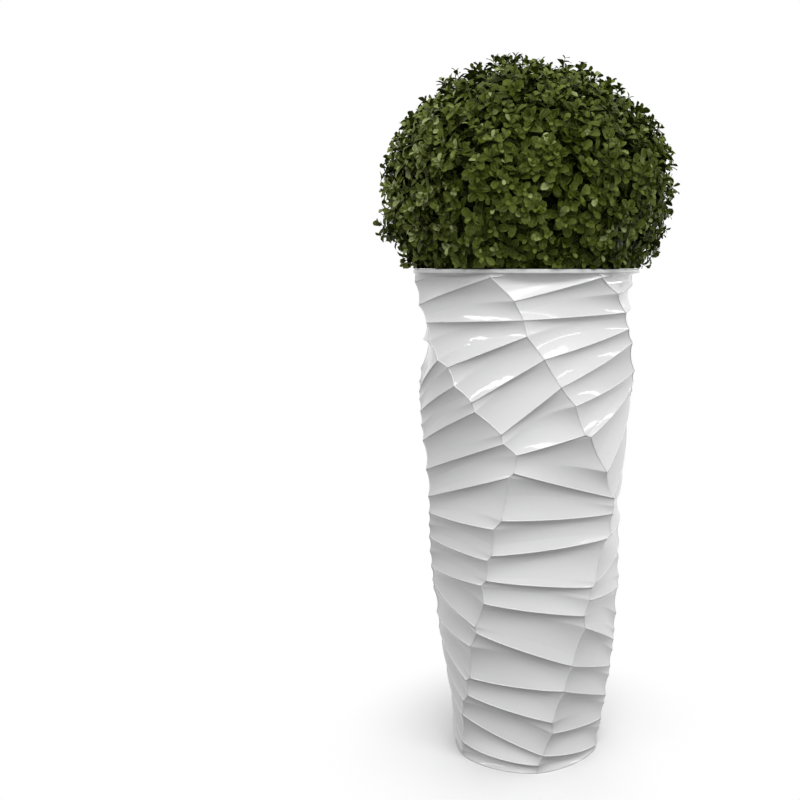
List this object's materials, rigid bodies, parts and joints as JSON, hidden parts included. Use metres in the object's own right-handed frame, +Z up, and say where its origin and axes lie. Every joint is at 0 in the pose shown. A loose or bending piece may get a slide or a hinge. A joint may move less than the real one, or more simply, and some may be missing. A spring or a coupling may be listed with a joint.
{
  "type": "floor vase",
  "caption": "Tall white moulded floor vase with a winding relief of shallow scoops, a drain plug and a lift-out liner planted with a clipped boxwood ball.",
  "frame": {"origin": "on the floor, at the centre of the foot", "axes": "+Z up along the vase's axis, -Y towards the front that the picture shows, +X to the right seen from the front"},
  "size_m": [0.4394, 0.4392, 1.1068],
  "materials": {
    "white_resin": "glossy white lacquer on moulded resin",
    "plug_rubber": "matt black rubber",
    "liner_plastic": "satin black moulded plastic",
    "gravel": "loose rounded gravel",
    "soil": "dark potting soil",
    "bark": "grey-brown bark",
    "leaves": "small dark green leaves with a slight sheen"
  },
  "bodies": {
    "vase": {"vase_shell": "white_resin", "base_disc": "white_resin"},
    "plug": {"drain_plug": "plug_rubber"},
    "insert": {"liner_pot": "liner_plastic", "drainage_bed": "gravel", "soil_fill": "soil", "boxwood_stem": "bark", "foliage": "leaves"}
  },
  "joints": [
    {"name": "insert_lift", "type": "slide", "parent": "vase", "child": "insert", "axis": [0, 0, 1], "range_m": [0, 0.3]},
    {"name": "plug_pull", "type": "slide", "parent": "vase", "child": "plug", "axis": [0, 0, 1], "range_m": [0, 0.05]}
  ]
}
